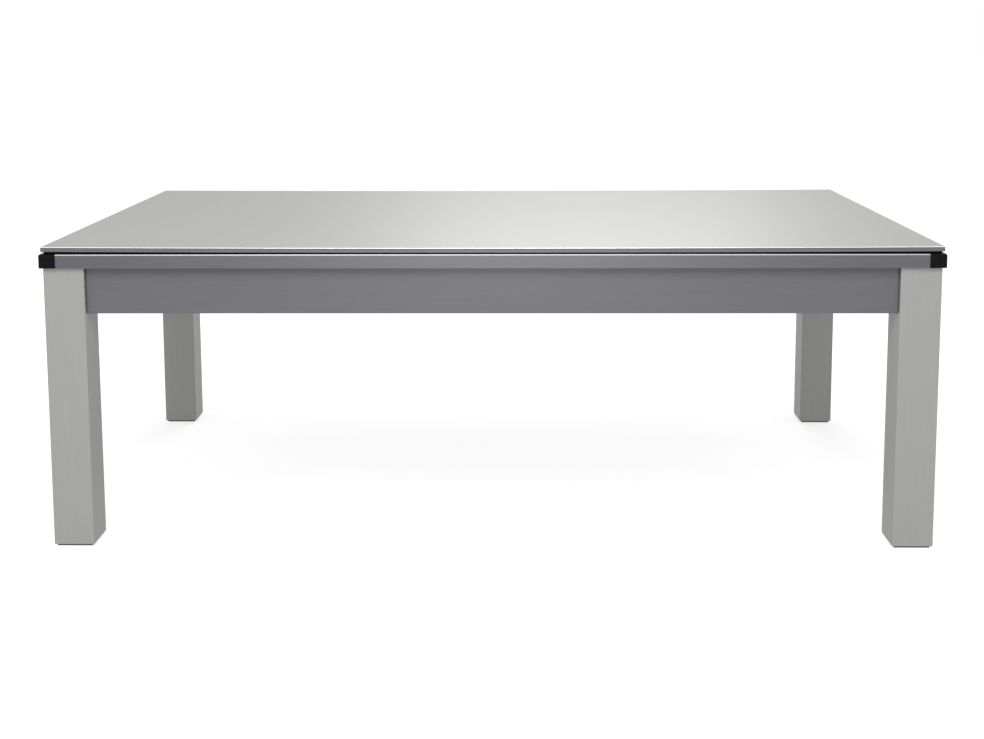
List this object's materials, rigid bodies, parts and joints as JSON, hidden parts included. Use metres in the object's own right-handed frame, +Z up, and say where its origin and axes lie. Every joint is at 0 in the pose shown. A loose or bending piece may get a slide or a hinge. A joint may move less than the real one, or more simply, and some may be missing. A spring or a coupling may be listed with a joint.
{
  "type": "pool table",
  "caption": "Slate-bed pool table with slim aluminium rails, square legs, levelling feet and a lift-off flat cover that makes it a dining table.",
  "frame": {"origin": "on the floor, under the middle of the table (bottom centre of the whole part's box)", "axes": "+X along the table's length, -Y towards the front long side, +Z up"},
  "size_m": [2.21, 1.215, 0.76],
  "materials": {
    "cover": "satin light grey laminate",
    "gasket": "matt black",
    "batten_board": "bare fibreboard",
    "rail_aluminium": "satin anodised, bevelled arris",
    "cap_plastic": "black moulded",
    "leg_paint": "silver grey satin powder coat",
    "foot_rubber": "matt black",
    "apron_laminate": "dark grey satin laminate",
    "bed_cloth": "worsted wool cloth",
    "liner_rubber": "moulded black",
    "bag_leather": "black leather cup",
    "slate": "honed",
    "hardwood": "planed",
    "sight_pearl": "polished",
    "beam_paint": "black satin",
    "bracket_steel": "black satin",
    "fastener_steel": "zinc plated"
  },
  "bodies": {
    "table": {"apron_back": "apron_laminate", "apron_brackets": "bracket_steel", "apron_front": "apron_laminate", "apron_left": "apron_laminate", "apron_right": "apron_laminate", "bed_cloth": "bed_cloth", "corner_cap_back_left": "cap_plastic", "corner_cap_back_right": "cap_plastic", "corner_cap_front_left": "cap_plastic", "corner_cap_front_right": "cap_plastic", "corner_plates": "bracket_steel", "countersunk_screws": "fastener_steel", "cross_beams": "beam_paint", "cushion_back_left": "bed_cloth", "cushion_back_right": "bed_cloth", "cushion_front_left": "bed_cloth", "cushion_front_right": "bed_cloth", "cushion_left": "bed_cloth", "cushion_right": "bed_cloth", "leg_back_left": "leg_paint", "leg_back_right": "leg_paint", "leg_bolts": "fastener_steel", "leg_foot_plates": "bracket_steel", "leg_front_left": "leg_paint", "leg_front_right": "leg_paint", "leg_top_plates": "bracket_steel", "long_beams": "beam_paint", "pocket_bag_back_left": "bag_leather", "pocket_bag_back_right": "bag_leather", "pocket_bag_front_left": "bag_leather", "pocket_bag_front_right": "bag_leather", "pocket_bag_side_back": "bag_leather", "pocket_bag_side_front": "bag_leather", "pocket_liner_back_left": "liner_rubber", "pocket_liner_back_right": "liner_rubber", "pocket_liner_front_left": "liner_rubber", "pocket_liner_front_right": "liner_rubber", "pocket_liner_side_back": "liner_rubber", "pocket_liner_side_front": "liner_rubber", "rail_back": "rail_aluminium", "rail_bolts": "fastener_steel", "rail_front": "rail_aluminium", "rail_left": "rail_aluminium", "rail_right": "rail_aluminium", "rail_sights": "sight_pearl", "slate_left": "slate", "slate_middle": "slate", "slate_right": "slate", "sub_rails": "hardwood"},
    "cover": {"cover_top": "cover", "cover_gasket": "gasket", "cover_battens": "batten_board"},
    "stem_front_left": {"foot_stem_front_left": "fastener_steel"},
    "foot_front_left": {"foot_pad_front_left": "foot_rubber"},
    "stem_front_right": {"foot_stem_front_right": "fastener_steel"},
    "foot_front_right": {"foot_pad_front_right": "foot_rubber"},
    "stem_back_left": {"foot_stem_back_left": "fastener_steel"},
    "foot_back_left": {"foot_pad_back_left": "foot_rubber"},
    "stem_back_right": {"foot_stem_back_right": "fastener_steel"},
    "foot_back_right": {"foot_pad_back_right": "foot_rubber"}
  },
  "joints": [
    {"name": "cover_lift", "type": "slide", "parent": "table", "child": "cover", "axis": [0, 0, 1], "range_m": [0, 0.3]},
    {"name": "foot_extend_front_left", "type": "slide", "parent": "table", "child": "stem_front_left", "axis": [0, 0, -1], "range_m": [0, 0.012]},
    {"name": "foot_turn_front_left", "type": "hinge", "parent": "stem_front_left", "child": "foot_front_left", "pos_m": [-1.046, -0.5485, 0.005], "axis": [0, 0, -1], "range_deg": [0, 2160.5]},
    {"name": "foot_extend_front_right", "type": "slide", "parent": "table", "child": "stem_front_right", "axis": [0, 0, -1], "range_m": [0, 0.012]},
    {"name": "foot_turn_front_right", "type": "hinge", "parent": "stem_front_right", "child": "foot_front_right", "pos_m": [1.046, -0.5485, 0.005], "axis": [0, 0, -1], "range_deg": [0, 2160.5]},
    {"name": "foot_extend_back_left", "type": "slide", "parent": "table", "child": "stem_back_left", "axis": [0, 0, -1], "range_m": [0, 0.012]},
    {"name": "foot_turn_back_left", "type": "hinge", "parent": "stem_back_left", "child": "foot_back_left", "pos_m": [-1.046, 0.5485, 0.005], "axis": [0, 0, -1], "range_deg": [0, 2160.5]},
    {"name": "foot_extend_back_right", "type": "slide", "parent": "table", "child": "stem_back_right", "axis": [0, 0, -1], "range_m": [0, 0.012]},
    {"name": "foot_turn_back_right", "type": "hinge", "parent": "stem_back_right", "child": "foot_back_right", "pos_m": [1.046, 0.5485, 0.005], "axis": [0, 0, -1], "range_deg": [0, 2160.5]}
  ],
  "couplings": [
    {"joint": "foot_turn_front_left", "follows": "foot_extend_front_left", "rad_per_m": 3141.6},
    {"joint": "foot_turn_front_right", "follows": "foot_extend_front_right", "rad_per_m": 3141.6},
    {"joint": "foot_turn_back_left", "follows": "foot_extend_back_left", "rad_per_m": 3141.6},
    {"joint": "foot_turn_back_right", "follows": "foot_extend_back_right", "rad_per_m": 3141.6}
  ]
}
